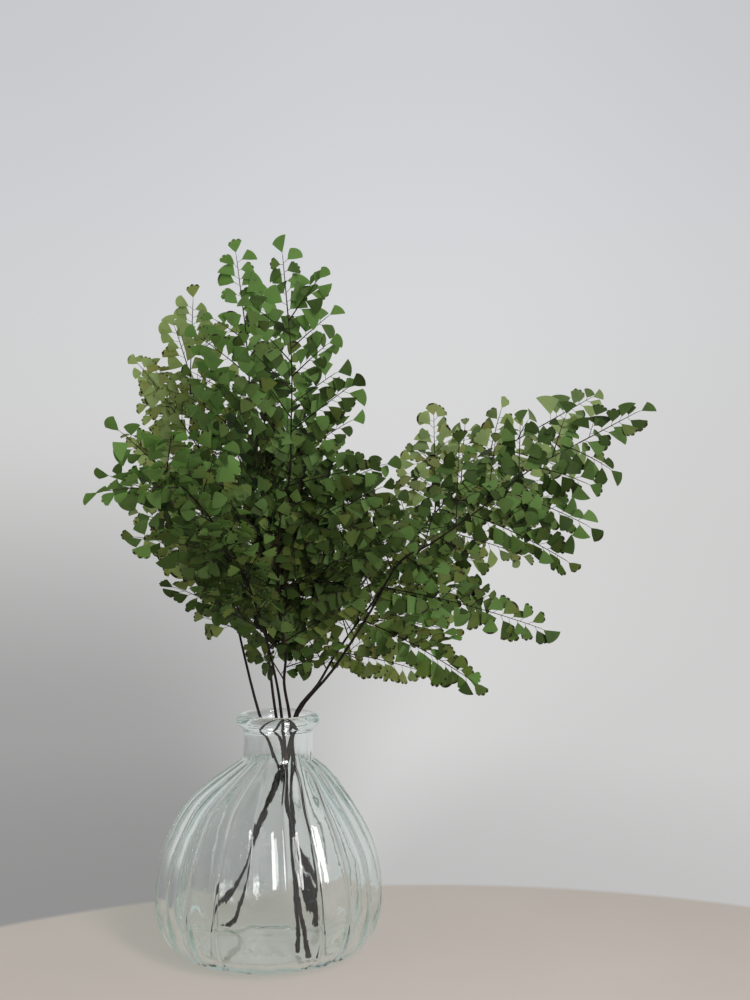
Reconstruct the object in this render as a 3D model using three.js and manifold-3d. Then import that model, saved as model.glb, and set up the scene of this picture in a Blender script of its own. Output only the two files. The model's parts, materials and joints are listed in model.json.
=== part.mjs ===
// Six cut fronds of maidenhair fern standing in a ribbed, globe-shaped glass bud vase.
// Millimetres, +Z up, -Y towards the viewer. The origin is the centre of the vase's flat foot.
import * as THREE from 'three';
import { mergeVertices } from 'three/addons/utils/BufferGeometryUtils.js';
import Module from 'manifold-3d';

const wasm = await Module();
wasm.setup();

// The vase
const VASE_HEIGHT = 120;
const FOOT_RADIUS = 29;
const FLOOR = 6.5; // the thick glass under the stalks
const SHOULDER = 98; // where the globe becomes the neck
const NECK_RADIUS = 17.3;
const NECK_BORE = 15;
const LIP_RADIUS = 20.7;
const LIP_DEPTH = 6.5;
const LIP_STEPS = 4; // straight stretches round the lip's edge
const LOBES = 20;
const LOBE_DEPTH = 1.8; // how far a crease lies inside the lobes' outline
const LOBES_FROM = 1; // the height above the foot where the creases start
const CREASE_ANGLE = -95; // degrees; one crease lies a little left of the front
const NECK_OFFSET = 4.5; // the neck of this glass stands a little to the right of the globe's axis
const OFFSET_FROM = 74; // the height at which the globe starts to lean towards its neck

// The globe's outside and inside, as radius and height
const GLOBE_OUTSIDE = [[FOOT_RADIUS, 0], [45, 4.6], [54, 14.5], [56.8, 29], [53.8, 51], [43.5, 73],
  [29.5, 89], [NECK_RADIUS, SHOULDER]];
const GLOBE_INSIDE = [[30, FLOOR], [44, 11.5], [51, 21], [53.3, 32], [50.2, 51.5], [40.2, 71.5],
  [27, 86.5], [NECK_BORE, SHOULDER - 1]];
const OUTSIDE_STEPS = 10; // straight stretches up the outside and up the inside
const INSIDE_STEPS = 8;
const INSIDE_SIDES = 24;

// The fronds' stalks and leaflets
const STALK_RADIUS = 0.9;
const STALK_TIP_RADIUS = 0.45;
const STALK_SIDES = 5;
const STALK_STEP = 20; // length of one straight stretch of a stalk
const BLADE = 0.62; // thickness of ribs and leaflets
const RIB = 0.75; // half the width of a side rib where a leaflet leaves it
const LEAF = [12, 9]; // length of a leaflet at the bottom and at the top of a frond
const LEAF_PITCH = 1.28; // from one leaflet to the next on the same side of a rib, in leaflets
const LEAF_ANGLE = 52; // degrees between a rib and its leaflets
const ANGLE_SPREAD = 8; // degrees over which that angle differs
const LEAF_SHARE = [0.86, 1.06]; // the smallest and largest leaflet of a rib, as shares of LEAF
const END_LEAF_SHARE = 0.88; // leaflets near the end of a rib are this much smaller
const END_STRETCH = 1.6; // that stretch, and the shortest side rib, in leaflets
const LAST_LEAF = 0.95; // from the end of a rib to its last side leaflet, in leaflets
const FIRST_LEAF = 5.5; // bare length at the root of a rib
const LONG_RIB = 54; // a rib longer than this has short side ribs on its lower half
const BRANCH_PITCH = 18;
const BRANCH_SHARE = 0.4; // length of a side rib as a share of what is left of its rib
const TIP_SPRAY = 34; // the stretch at the end of a stalk that carries leaflets of its own
const TIP_PLACE = 0.998; // where that spray starts, as a share of the stalk's length
const ARCH = 0.014; // how far a rib's leaflets bow back, by the square of their distance from it
const TILT = [8, 22]; // degrees by which ribs leave the plane of their frond, in turn to front and back
const TWIST = 50; // degrees over which ribs are turned on their own line

// A leaflet is a fan that widens from its stalk to a rounded outer edge cut by one notch: along, across
const FAN = [[0, -0.06], [0.7, -0.56], [1, -0.24], [0.87, 0.06], [0.93, 0.46], [0, 0.06]];

// Each frond's stalk runs through hand-chosen points from its cut foot to its end spray. leafy is the
// share of its length where the lowest rib leaves it. left and right give the length of each rib, from the
// lowest to the highest. open is the angle between stalk and ribs at the bottom and at the top. turn is
// how far the frond is turned about its stalk. Ribs bend down by droop, as a share of their length.
const FRONDS = [
  {
    name: 'frond_centre',
    seed: 11,
    colour: 0x4d7031,
    stalk: [[17, -15, 7.2], [12.4, -5.5, 96], [10.5, -5, 120], [8, -7, 136], [9, -10, 150], [6, -15, 178],
      [8, -25, 224], [12, -28, 237], [13, -32, 261], [14, -36, 292], [14, -37, 318]],
    leafy: 0.41,
    left: [72, 62, 58, 54, 48, 42, 34, 24],
    right: [46, 80, 70, 60, 54, 46, 36, 24],
    open: [60, 46],
    turn: -12,
    droop: 0.2,
  },
  {
    name: 'frond_upper_left',
    seed: 23,
    colour: 0x557a35,
    stalk: [[23, 18, 7.3], [7, 9, 96], [2.5, 8.5, 120], [-2, 14, 154], [-5, 20, 182], [-10, 31, 247],
      [-14, 36, 315], [-16, 36, 328]],
    leafy: 0.5,
    left: [26, 50, 48, 40, 28],
    right: [44, 44, 40, 34, 26],
    open: [56, 44],
    turn: 6,
    droop: 0.1,
  },
  {
    name: 'frond_back_left',
    seed: 37,
    colour: 0x7d8c45,
    stalk: [[31, -3, 7.6], [3, 3, 96], [-5.5, 4, 120], [-15, 14, 153], [-33, 46, 219], [-47, 68, 281],
      [-52, 74, 316]],
    leafy: 0.49,
    left: [38, 58, 60, 50, 34],
    right: [38, 38, 36, 32, 26],
    open: [56, 46],
    turn: 20,
    droop: 0.1,
  },
  {
    name: 'frond_front_left',
    seed: 44,
    colour: 0x4f6f33,
    stalk: [[20.5, -20, 7.3], [9.3, -10, 96], [7, -10.5, 120], [5, -14, 136], [-1, -28, 166],
      [-11, -48, 198], [-28, -64, 226], [-48, -75, 246]],
    leafy: 0.52,
    left: [48, 50, 46, 34],
    right: [28, 48, 52, 34],
    open: [62, 48],
    turn: -18,
    droop: 0.1,
  },
  {
    name: 'frond_right_long',
    seed: 53,
    colour: 0x4d7031,
    stalk: [[-32, 2, 7.8], [9.5, -1, 96], [14.5, -1.5, 120], [32, -4, 142], [51, -10, 172], [66, -14, 197],
      [80, -16, 205], [105, -20, 223], [128, -22, 241], [157, -22, 258]],
    leafy: 0.47,
    left: [24, 42, 50, 44, 36, 26],
    right: [72, 94, 50, 50, 42, 28],
    open: [62, 46],
    turn: -22,
    droop: 0.14,
  },
  {
    name: 'frond_right_back',
    seed: 67,
    colour: 0x7d8c45,
    stalk: [[-24, 18, 7.6], [8, 6.5, 96], [13.5, 6, 120], [24, 10, 133], [33, 16, 148], [56, 32, 179],
      [82, 48, 216], [121, 62, 254], [149, 68, 273]],
    leafy: 0.44,
    left: [44, 58, 56, 46, 32],
    right: [54, 40, 36, 32, 26],
    open: [58, 46],
    turn: -12,
    droop: 0.1,
  },
];

const radians = THREE.MathUtils.degToRad;
const DOWN = new THREE.Vector3(0, 0, -1);
const TO_VIEWER = new THREE.Vector3(0, -1, 0);

// A seeded draw between 0 and 1, so that every build gives the same fronds
function makeRandom(seed) {
  let state = seed;
  return () => {
    state = (state + 0x6d2b79f5) | 0;
    let mixed = Math.imul(state ^ (state >>> 15), 1 | state);
    mixed = (mixed + Math.imul(mixed ^ (mixed >>> 7), 61 | mixed)) ^ mixed;
    return ((mixed ^ (mixed >>> 14)) >>> 0) / 4294967296;
  };
}

// Solids are joined and cut as manifold bodies
function toSolid(geometry) {
  geometry.deleteAttribute('normal');
  geometry.deleteAttribute('uv');
  const merged = mergeVertices(geometry);
  return new wasm.Manifold(new wasm.Mesh({
    numProp: 3,
    vertProperties: new Float32Array(merged.attributes.position.array),
    triVerts: new Uint32Array(merged.index.array),
  }));
}

function toMesh(name, solid, material) {
  const { vertProperties, triVerts } = solid.getMesh();
  const geometry = new THREE.BufferGeometry();
  geometry.setAttribute('position', new THREE.BufferAttribute(vertProperties, 3));
  geometry.setIndex(new THREE.BufferAttribute(triVerts, 1));
  geometry.computeVertexNormals();
  const mesh = new THREE.Mesh(geometry, material);
  mesh.name = name;
  return mesh;
}

// The vase: a fluted outside and a smooth inside, both leaning to the neck in the same way
function curvePoints(points, count) {
  return new THREE.SplineCurve(points.map(([r, z]) => new THREE.Vector2(r, z))).getPoints(count);
}

function glassSurface(profile, segments, lobeDepth) {
  const geometry = new THREE.LatheGeometry(profile, segments);
  geometry.rotateX(Math.PI / 2);
  const at = geometry.attributes.position;
  for (let i = 0; i < at.count; i++) {
    const z = at.getZ(i);
    const angle = Math.atan2(at.getY(i), at.getX(i)) - radians(CREASE_ANGLE);
    const crease = 1 - Math.abs(Math.sin(angle * LOBES / 2));
    const share = THREE.MathUtils.clamp((z - LOBES_FROM) / (SHOULDER - LOBES_FROM), 0, 1);
    const depth = lobeDepth * Math.sqrt(Math.sin(Math.PI * share)) * crease;
    const radius = Math.hypot(at.getX(i), at.getY(i));
    const scale = radius > FOOT_RADIUS / 2 ? 1 - depth / radius : 1;
    const lean = NECK_OFFSET * THREE.MathUtils.smoothstep(z, OFFSET_FROM, SHOULDER);
    at.setXY(i, at.getX(i) * scale + lean, at.getY(i) * scale);
  }
  return toSolid(geometry);
}

function makeVase() {
  const lip = [];
  for (let i = 0; i <= LIP_STEPS; i++) {
    const turn = Math.PI * (i / LIP_STEPS - 0.5);
    lip.push(new THREE.Vector2(
      LIP_RADIUS - LIP_DEPTH / 2 * (1 - Math.cos(turn)),
      VASE_HEIGHT - LIP_DEPTH / 2 * (1 - Math.sin(turn)),
    ));
  }
  const outside = [
    new THREE.Vector2(0, 0),
    ...curvePoints(GLOBE_OUTSIDE, OUTSIDE_STEPS),
    ...lip,
    new THREE.Vector2(0, VASE_HEIGHT),
  ];
  const aboveLip = VASE_HEIGHT + 5;
  const inside = [
    new THREE.Vector2(0, FLOOR),
    ...curvePoints(GLOBE_INSIDE, INSIDE_STEPS),
    new THREE.Vector2(NECK_BORE, aboveLip),
    new THREE.Vector2(0, aboveLip),
  ];
  return glassSurface(outside, 3 * LOBES, LOBE_DEPTH).subtract(glassSurface(inside, INSIDE_SIDES, 0));
}

// A stalk: a closed tube with few sides that tapers from foot to tip
function taperedTube(curve, steps, sides, rootRadius, tipRadius) {
  const { normals, binormals } = curve.computeFrenetFrames(steps);
  const positions = [];
  for (let step = 0; step <= steps; step++) {
    const share = step / steps;
    const centre = curve.getPointAt(share);
    const radius = THREE.MathUtils.lerp(rootRadius, tipRadius, share);
    for (let side = 0; side < sides; side++) {
      const turn = 2 * Math.PI * side / sides;
      const point = centre.clone()
        .addScaledVector(normals[step], radius * Math.cos(turn))
        .addScaledVector(binormals[step], radius * Math.sin(turn));
      positions.push(...point);
    }
  }
  const faces = [];
  for (let step = 0; step < steps; step++) {
    for (let side = 0; side < sides; side++) {
      const a = step * sides + side;
      const b = step * sides + (side + 1) % sides;
      faces.push(a, b, b + sides, a, b + sides, a + sides);
    }
  }
  const last = steps * sides;
  for (let side = 1; side < sides - 1; side++) {
    faces.push(0, side + 1, side);
    faces.push(last, last + side, last + side + 1);
  }
  return closedBody(positions, faces);
}

function closedBody(positions, faces) {
  const geometry = new THREE.BufferGeometry();
  geometry.setAttribute('position', new THREE.Float32BufferAttribute(positions, 3));
  geometry.setIndex(faces);
  return toSolid(geometry);
}

// The flat outline of a rib: up its right side, round its end leaflet and down its left side
function step([x, y], heading, along, across) {
  const cos = Math.cos(heading);
  const sin = Math.sin(heading);
  return [x + along * cos - across * sin, y + along * sin + across * cos];
}

function fanOutline(root, heading, size, random) {
  const fan = random() < 0.5 ? FAN : FAN.map(([along, across]) => [along, -across]).reverse();
  return fan.map(([along, across]) => step(root, heading, along * size, across * size));
}

function ribOutline(root, heading, reach, leaf, random, branched) {
  const sideOutline = (side, start) => {
    const pieces = [];
    const endStretch = END_STRETCH * leaf;
    let along = start;
    while (along < reach - LAST_LEAF * leaf) {
      const rest = reach - along;
      const branchReach = BRANCH_SHARE * rest;
      const isBranch = branched && branchReach > endStretch && along < reach / 2;
      const turn = heading + side * radians(LEAF_ANGLE + ANGLE_SPREAD * (random() - 0.5));
      const place = step(root, heading, along, side * RIB);
      if (isBranch) {
        pieces.push(ribOutline(place, turn, branchReach, leaf, random, false));
        along += BRANCH_PITCH;
      } else {
        const size = leaf * THREE.MathUtils.lerp(...LEAF_SHARE, random());
        pieces.push(fanOutline(place, turn, rest < endStretch ? size * END_LEAF_SHARE : size, random));
        along += LEAF_PITCH * leaf;
      }
    }
    return pieces;
  };
  const right = sideOutline(-1, FIRST_LEAF);
  const left = sideOutline(1, FIRST_LEAF + LEAF_PITCH * leaf / 2);
  const end = fanOutline(step(root, heading, reach - leaf, 0), heading, leaf, random);
  return [
    step(root, heading, 0, -RIB),
    ...right.flat(),
    ...end,
    ...left.reverse().flat(),
    step(root, heading, 0, RIB),
  ];
}

// Bends the flat outline into a thin closed blade that follows its rib, drooping and arched across.
// Both faces are split into the same triangles, so they never cross.
function ribBlade(outline, root, direction, facing, bend, reach, twist) {
  const place = (along, across, lift) => {
    const bent = along * Math.abs(along) / reach;
    const tangent = direction.clone().addScaledVector(bend, 2 * along / reach).normalize();
    const turned = new THREE.Vector3().crossVectors(facing, tangent).normalize();
    turned.applyAxisAngle(tangent, twist);
    const normal = new THREE.Vector3().crossVectors(tangent, turned);
    return root.clone()
      .addScaledVector(direction, along)
      .addScaledVector(bend, bent)
      .addScaledVector(turned, across)
      .addScaledVector(normal, lift - ARCH * across * across);
  };
  const contour = outline.map(([along, across]) => new THREE.Vector2(along, across));
  const count = contour.length;
  const positions = [];
  for (const lift of [BLADE / 2, -BLADE / 2]) {
    for (const { x, y } of contour) positions.push(...place(x, y, lift));
  }
  const faces = [];
  for (const [a, b, c] of THREE.ShapeUtils.triangulateShape(contour, [])) {
    faces.push(a, b, c);
    faces.push(count + a, count + c, count + b);
  }
  for (let i = 0; i < count; i++) {
    const j = (i + 1) % count;
    faces.push(i, count + i, count + j, i, count + j, j);
  }
  return closedBody(positions, faces);
}

function makeFrond(frond) {
  const random = makeRandom(frond.seed);
  const points = frond.stalk.map((point) => new THREE.Vector3(...point));
  const curve = new THREE.CatmullRomCurve3(points, false, 'centripetal');
  const steps = Math.round(curve.getLength() / STALK_STEP);
  let solid = taperedTube(curve, steps, STALK_SIDES, STALK_RADIUS, STALK_TIP_RADIUS);
  const addRib = (place, side, open, tilt, reach, droop, leaf) => {
    const tangent = curve.getTangentAt(place);
    const facing = TO_VIEWER.clone().projectOnPlane(tangent).normalize();
    facing.applyAxisAngle(tangent, radians(frond.turn));
    const sideways = new THREE.Vector3().crossVectors(tangent, facing).multiplyScalar(side);
    const direction = tangent.clone().multiplyScalar(Math.cos(open));
    direction.addScaledVector(sideways, Math.sin(open)).addScaledVector(facing, Math.sin(tilt)).normalize();
    const outline = ribOutline([0, 0], 0, reach, leaf, random, reach > LONG_RIB);
    const twist = radians(TWIST) * (random() - 0.5) * Math.abs(side);
    solid = solid.add(ribBlade(outline, curve.getPointAt(place), direction, facing,
      DOWN.clone().multiplyScalar(droop), reach, twist));
  };
  const addSide = (reaches, side, shift) => {
    reaches.forEach((reach, i) => {
      const share = (i + shift) / reaches.length;
      const place = THREE.MathUtils.lerp(frond.leafy, 1, share);
      const open = radians(THREE.MathUtils.lerp(frond.open[0], frond.open[1], share));
      const tilt = radians(THREE.MathUtils.lerp(TILT[0], TILT[1], random())) * (i % 2 ? 1 : -1);
      const leaf = THREE.MathUtils.lerp(LEAF[0], LEAF[1], share);
      addRib(place, side, open, tilt, reach, frond.droop, leaf);
    });
  };
  addSide(frond.left, -1, 0);
  addSide(frond.right, 1, 0.5);
  addRib(TIP_PLACE, 0, 0, 0, TIP_SPRAY, 0, LEAF[1]);
  const bodies = solid.decompose();
  bodies.sort((a, b) => b.volume() - a.volume());
  return bodies[0];
}

const glass = new THREE.MeshStandardMaterial({
  color: 0xdfeae6, roughness: 0.05, metalness: 0, transparent: true, opacity: 0.35,
});

const bunch = new THREE.Group();
bunch.add(toMesh('vase', makeVase(), glass));
for (const frond of FRONDS) {
  const material = new THREE.MeshStandardMaterial({ color: frond.colour, roughness: 0.6, metalness: 0 });
  bunch.add(toMesh(frond.name, makeFrond(frond), material));
}

export default bunch;
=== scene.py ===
# %% [markdown]
# # Maidenhair fern in a ribbed glass vase
# Six cut fronds of maidenhair fern stand in a small vase of clear glass. The imported model holds their plain
# solids, at their real size. This lesson dresses them: the glass gets its lobes, the stalks their taper and
# gloss, and every frond its hundreds of thin leaflets that let light through. Lengths are in metres, so a
# given size is written in millimetres times MM.

import json
import math
import random
from collections import namedtuple

import bmesh
import bpy
import numpy as np
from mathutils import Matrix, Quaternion, Vector


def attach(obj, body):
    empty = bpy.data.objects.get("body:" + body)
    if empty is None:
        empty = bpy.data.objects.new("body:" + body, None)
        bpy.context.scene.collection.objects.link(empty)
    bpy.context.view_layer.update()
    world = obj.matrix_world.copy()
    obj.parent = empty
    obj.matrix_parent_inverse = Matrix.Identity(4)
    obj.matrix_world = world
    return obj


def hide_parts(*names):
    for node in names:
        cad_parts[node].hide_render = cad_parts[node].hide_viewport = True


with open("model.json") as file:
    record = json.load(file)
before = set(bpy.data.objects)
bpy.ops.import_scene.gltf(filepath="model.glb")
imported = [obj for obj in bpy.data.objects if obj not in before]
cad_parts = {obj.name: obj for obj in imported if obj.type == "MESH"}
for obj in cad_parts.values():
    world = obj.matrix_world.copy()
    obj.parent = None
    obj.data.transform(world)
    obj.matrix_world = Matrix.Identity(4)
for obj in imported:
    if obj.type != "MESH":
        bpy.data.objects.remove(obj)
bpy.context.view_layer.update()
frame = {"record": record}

MM = 0.001
DOWN = Vector((0, 0, -1))
TO_VIEWER = Vector((0, -1, 0))

# %% [markdown]
# ## Camera
# The photograph was taken level, from a little above the middle of the fronds and a little to the right of
# the vase. A level camera keeps upright things upright in the picture, and a 50 mm lens at 0.7 m shows the
# vase's lip almost edge on, as the photograph does.

# %% Camera
camera = bpy.data.objects.new("camera", bpy.data.cameras.new("camera"))
camera.data.lens = 50
camera.data.sensor_width = 36
camera.data.clip_start = 0.01
camera.location = (53.04 * MM, -695 * MM, 226.6 * MM)
camera.rotation_euler = (math.radians(90), 0, 0)
bpy.context.scene.collection.objects.link(camera)
bpy.context.scene.camera = camera

# %% [markdown]
# ## Nodes written as formulas
# Materials and Geometry Nodes are both trees of nodes. Wiring them by hand takes many lines, so two small
# classes do it. A Wire stands for one output, and arithmetic on it adds Math nodes: 1 - mask reads as it
# would in Python. A Board adds every other kind of node, with its settings first and then its sockets.

# %% Wires and boards
def operator(operation, turned=False):
    """A Python operator that adds a Math node to the wire's tree."""
    def apply(wire, value):
        pair = (value, wire) if turned else (wire, value)
        return wire.board.add("ShaderNodeMath", {"operation": operation}, dict(enumerate(pair)))
    return apply


class Wire:
    """One output of a node."""
    __add__ = __radd__ = operator("ADD")
    __mul__ = __rmul__ = operator("MULTIPLY")
    __sub__ = operator("SUBTRACT")
    __rsub__ = operator("SUBTRACT", turned=True)
    __truediv__ = operator("DIVIDE")
    __rtruediv__ = operator("DIVIDE", turned=True)
    __pow__ = operator("POWER")
    __lt__ = operator("LESS_THAN")
    __gt__ = operator("GREATER_THAN")

    def __init__(self, board, socket):
        self.board = board
        self.socket = socket

    def output(self, name):
        """Another output of the same node."""
        return Wire(self.board, self.socket.node.outputs[name])

    def to(self, operation, *values):
        """A Math node that has no Python operator, such as SINE or FLOOR."""
        return self.board.add("ShaderNodeMath", {"operation": operation}, dict(enumerate((self, *values))))


class Board:
    """Adds nodes to one tree."""

    def __init__(self, tree):
        self.tree = tree

    def add(self, kind, settings=None, inputs=None):
        """Adds a node: its settings, then the values or wires of its sockets. Gives its first live output."""
        node = self.tree.nodes.new(kind)
        for name, value in (settings or {}).items():
            setattr(node, name, value)
        for name, value in (inputs or {}).items():
            socket = node.inputs[name]
            if isinstance(value, Wire):
                self.tree.links.new(value.socket, socket)
            elif socket.type == "RGBA" and len(value) == 3:
                socket.default_value = (*value, 1)
            else:
                socket.default_value = value
        live = [socket for socket in node.outputs if socket.enabled]
        return Wire(self, live[0]) if live else None

    def blend(self, share, first, second):
        """A colour from first to second."""
        return self.add("ShaderNodeMix", {"data_type": "RGBA"}, {0: share, 6: first, 7: second})

    def ease(self, value, low, high):
        """From 0 at low to 1 at high, with soft ends."""
        settings = {"interpolation_type": "SMOOTHSTEP"}
        return self.add("ShaderNodeMapRange", settings, {"Value": value, "From Min": low, "From Max": high})

    def split(self, vector):
        """A vector's three parts."""
        x = self.add("ShaderNodeSeparateXYZ", {}, {0: vector})
        return x, x.output("Y"), x.output("Z")

    def noise(self, place, scale, detail=2):
        """Soft noise around 0.5, with scale features to the metre."""
        return self.add("ShaderNodeTexNoise", {}, {"Vector": place, "Scale": scale, "Detail": detail})


def new_material(name):
    material = bpy.data.materials.new(name)
    material.use_nodes = True
    material.node_tree.nodes.clear()
    return material, Board(material.node_tree)


def object_place(board):
    return board.add("ShaderNodeTexCoord").output("Object")


# %% [markdown]
# ## Growing meshes with Geometry Nodes
# Each tree below gets named inputs, is run once on a small source mesh, and its result is kept as a plain
# mesh. A modifier finds its inputs by each socket's identifier, so the helper looks that up by the name.

# %% Trees and plain meshes
def new_tree(name, inputs):
    """A Geometry Nodes tree with named inputs: its board and a wire for each input."""
    tree = bpy.data.node_groups.new(name, "GeometryNodeTree")
    tree.interface.new_socket("Geometry", in_out="OUTPUT", socket_type="NodeSocketGeometry")
    tree.interface.new_socket("Geometry", in_out="INPUT", socket_type="NodeSocketGeometry")
    for label, kind in inputs.items():
        tree.interface.new_socket(label, in_out="INPUT", socket_type="NodeSocket" + kind)
    board = Board(tree)
    source = board.add("NodeGroupInput")
    return board, {socket.name: Wire(board, socket) for socket in source.socket.node.outputs if socket.name}


def grow(name, mesh, tree, values):
    """Runs a tree on a mesh and keeps the result as the mesh of a new object at the origin."""
    grown = bpy.data.objects.new(name, mesh)
    bpy.context.scene.collection.objects.link(grown)
    modifier = grown.modifiers.new("tree", "NODES")
    modifier.node_group = tree
    for socket in tree.interface.items_tree:
        if socket.in_out == "INPUT" and socket.name in values:
            modifier[socket.identifier] = values[socket.name]
    depsgraph = bpy.context.evaluated_depsgraph_get()
    result = bpy.data.meshes.new_from_object(grown.evaluated_get(depsgraph), depsgraph=depsgraph)
    grown.modifiers.remove(modifier)
    grown.data = result
    result.name = name
    print(name, "has", len(result.polygons), "faces")
    return grown


def add_attributes(mesh, attributes):
    """Gives each point its values. An attribute is a kind, the name of its field and a list."""
    for label, (kind, field, values) in attributes.items():
        mesh.attributes.new(label, kind, "POINT").data.foreach_set(field, np.ravel(values))


def edge_mesh(name, lines, attributes):
    """A mesh of polylines, with one value for each point and attribute."""
    mesh = bpy.data.meshes.new(name)
    points = [point for line in lines for point in line]
    edges = []
    start = 0
    for line in lines:
        edges += [(start + i, start + i + 1) for i in range(len(line) - 1)]
        start += len(line)
    mesh.from_pydata(points, edges, [])
    add_attributes(mesh, attributes)
    return mesh


# %% [markdown]
# ## Smooth paths
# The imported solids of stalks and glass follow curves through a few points, and nearly the same points are
# used here. A Catmull-Rom spline passes through all its points. Its centripetal form, with knots spaced by
# the square root of distance, doesn't overshoot where near and far points follow each other.

# %% Catmull-Rom splines and paths by length
CENTRIPETAL = 0.5  # the power of distance that spaces the knots
UNIFORM = 0


def spline(points, per_span, spacing):
    """Points along a Catmull-Rom spline through the given points."""
    given = [np.array(point, float) for point in points]
    given = [2 * given[0] - given[1], *given, 2 * given[-1] - given[-2]]
    knots = [0.0]
    for before, after in zip(given, given[1:]):
        knots.append(knots[-1] + np.linalg.norm(after - before) ** spacing)
    made = []
    for i in range(1, len(given) - 2):
        for step in range(per_span):
            t = knots[i] + (knots[i + 1] - knots[i]) * step / per_span
            made.append(spline_point(given[i - 1:i + 3], knots[i - 1:i + 3], t))
    made.append(given[-2])
    return made


def spline_point(points, knots, t):
    """Barry and Goldman's pyramid of mixes between four points, for one point of a Catmull-Rom spline."""
    def between(first, second, low, high):
        return first + (second - first) * (t - knots[low]) / (knots[high] - knots[low])

    edges = [between(points[i], points[i + 1], i, i + 1) for i in range(3)]
    return between(between(edges[0], edges[1], 0, 2), between(edges[1], edges[2], 1, 3), 1, 2)


class Path:
    """A polyline that is read by the share of its length."""

    def __init__(self, points):
        self.points = np.array(points)
        steps = np.linalg.norm(np.diff(self.points, axis=0), axis=1)
        self.lengths = np.concatenate([[0], np.cumsum(steps)])

    def at(self, share):
        along = share * self.lengths[-1]
        return Vector([np.interp(along, self.lengths, self.points[:, axis]) for axis in range(3)])

    def tangent(self, share):
        nudge = 0.004
        return (self.at(min(share + nudge, 1)) - self.at(max(share - nudge, 0))).normalized()


# %% [markdown]
# ## Floor and backdrop
# The object stands on a plain floor of a warm pale tone, with painted shade towards the right, which ends a
# hand's width behind it, in front of a pale grey backdrop. So that the object can be seen from every side,
# the backdrop is a bowl round the whole floor. It glows by itself with painted light and shade, as of a wall
# lit from the front right: it falls off towards the floor and the lower left. So it is smooth and costs no
# samples, and it lets the world's light through to the object.

# %% A tree that spins a profile
FLAT_FOOT = 6 * MM  # waves fade out below this height, so that a foot stays flat


def make_spin_tree():
    """Spins a profile of points, x for radius and z for height, round the Z axis, and can cut lobes."""
    board, given = new_tree("spin a profile", {
        "Sides": "Int", "Lobes": "Float", "Lobe depth": "Float", "Crease angle": "Float",
        "Crease softness": "Float", "Lobes from": "Float", "Lobes to": "Float", "Lean": "Float",
        "Lean from": "Float", "Lean to": "Float", "Waviness": "Float", "Wave size": "Float",
        "Material": "Material",
    })
    rows = board.add("GeometryNodeAttributeDomainSize", {}, {"Geometry": given["Geometry"]})
    index = board.add("GeometryNodeInputIndex")
    column = (index / rows).to("FLOOR")
    row = index - column * rows

    def from_profile(kind, value):
        settings = {"data_type": kind}
        inputs = {"Geometry": given["Geometry"], "Value": value, "Index": row}
        return board.add("GeometryNodeSampleIndex", settings, inputs)

    radius, _, height = board.split(from_profile("FLOAT_VECTOR", board.add("GeometryNodeInputPosition")))
    ribbed = from_profile("FLOAT", board.add("GeometryNodeInputNamedAttribute", {}, {"Name": "ribbed"}))
    angle = column / given["Sides"] * math.tau
    swing = ((angle - given["Crease angle"]) * given["Lobes"] / 2).to("SINE")
    crease = 1 - (swing * swing + given["Crease softness"]).to("SQRT")
    share = (height - given["Lobes from"]) / (given["Lobes to"] - given["Lobes from"])
    fullness = (share.to("MINIMUM", 1).to("MAXIMUM", 0) * math.pi).to("SINE").to("MAXIMUM", 0).to("SQRT")
    fluted = radius - ribbed * given["Lobe depth"] * fullness * crease
    lean = given["Lean"] * board.ease(height, given["Lean from"], given["Lean to"])
    parts = {"X": fluted * angle.to("COSINE") + lean, "Y": fluted * angle.to("SINE"), "Z": height}
    place = board.add("ShaderNodeCombineXYZ", {}, parts)

    columns = given["Sides"] + 1
    grid = board.add("GeometryNodeMeshGrid", {}, {"Vertices X": columns, "Vertices Y": rows})
    spun = board.add("GeometryNodeSetPosition", {}, {"Geometry": grid, "Position": place})
    here = board.add("GeometryNodeInputPosition")
    waves = (board.noise(here, 1 / given["Wave size"]) - 0.5) * board.ease(board.split(here)[2], 0, FLAT_FOOT)
    swell = board.add("ShaderNodeVectorMath", {"operation": "SCALE"}, {
        0: board.add("GeometryNodeInputNormal"), "Scale": waves * given["Waviness"],
    })
    closed = board.add("GeometryNodeMergeByDistance", {}, {"Geometry": spun, "Distance": 0.001 * MM})
    wavy = board.add("GeometryNodeSetPosition", {}, {"Geometry": closed, "Offset": swell})
    smooth = board.add("GeometryNodeSetShadeSmooth", {}, {"Geometry": wavy})
    real = board.add("GeometryNodeRealizeInstances", {}, {"Geometry": smooth})
    finished = board.add("GeometryNodeSetMaterial", {}, {"Geometry": real, "Material": given["Material"]})
    board.add("NodeGroupOutput", {}, {"Geometry": finished})
    return board.tree


def profile_mesh(name, profile, ribbed):
    """A mesh of one polyline of radius and height, with the share of the lobes' depth at each point."""
    line = [(radius, 0, height) for radius, height in profile]
    return edge_mesh(name, [line], {"ribbed": ("FLOAT", "value", ribbed)})


def arc(centre, radius, start, end, count):
    """Points on an arc of a profile, as radius and height, between two angles in degrees."""
    angles = [math.radians(start + (end - start) * i / count) for i in range(count + 1)]
    return [(centre[0] + radius * math.cos(angle), centre[1] + radius * math.sin(angle)) for angle in angles]


spin_tree = make_spin_tree()
NO_LOBES = {"Lobes": 0.0, "Lobe depth": 0.0, "Lobes from": 0.0, "Lobes to": 1.0, "Lean": 0.0,
            "Lean from": 0.0, "Lean to": 1.0, "Waviness": 0.0, "Wave size": 1.0}

# %% Floor and backdrop
FLOOR_RADIUS = 1.35
BOWL_RISE = 1.0
BOWL_HEIGHT = 3.0
WARM_CENTRE = (85 * MM, -248 * MM)  # the round edge of the warm floor
WARM_RADIUS = 371 * MM
EDGE_SOFTNESS = 4 * MM
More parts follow.
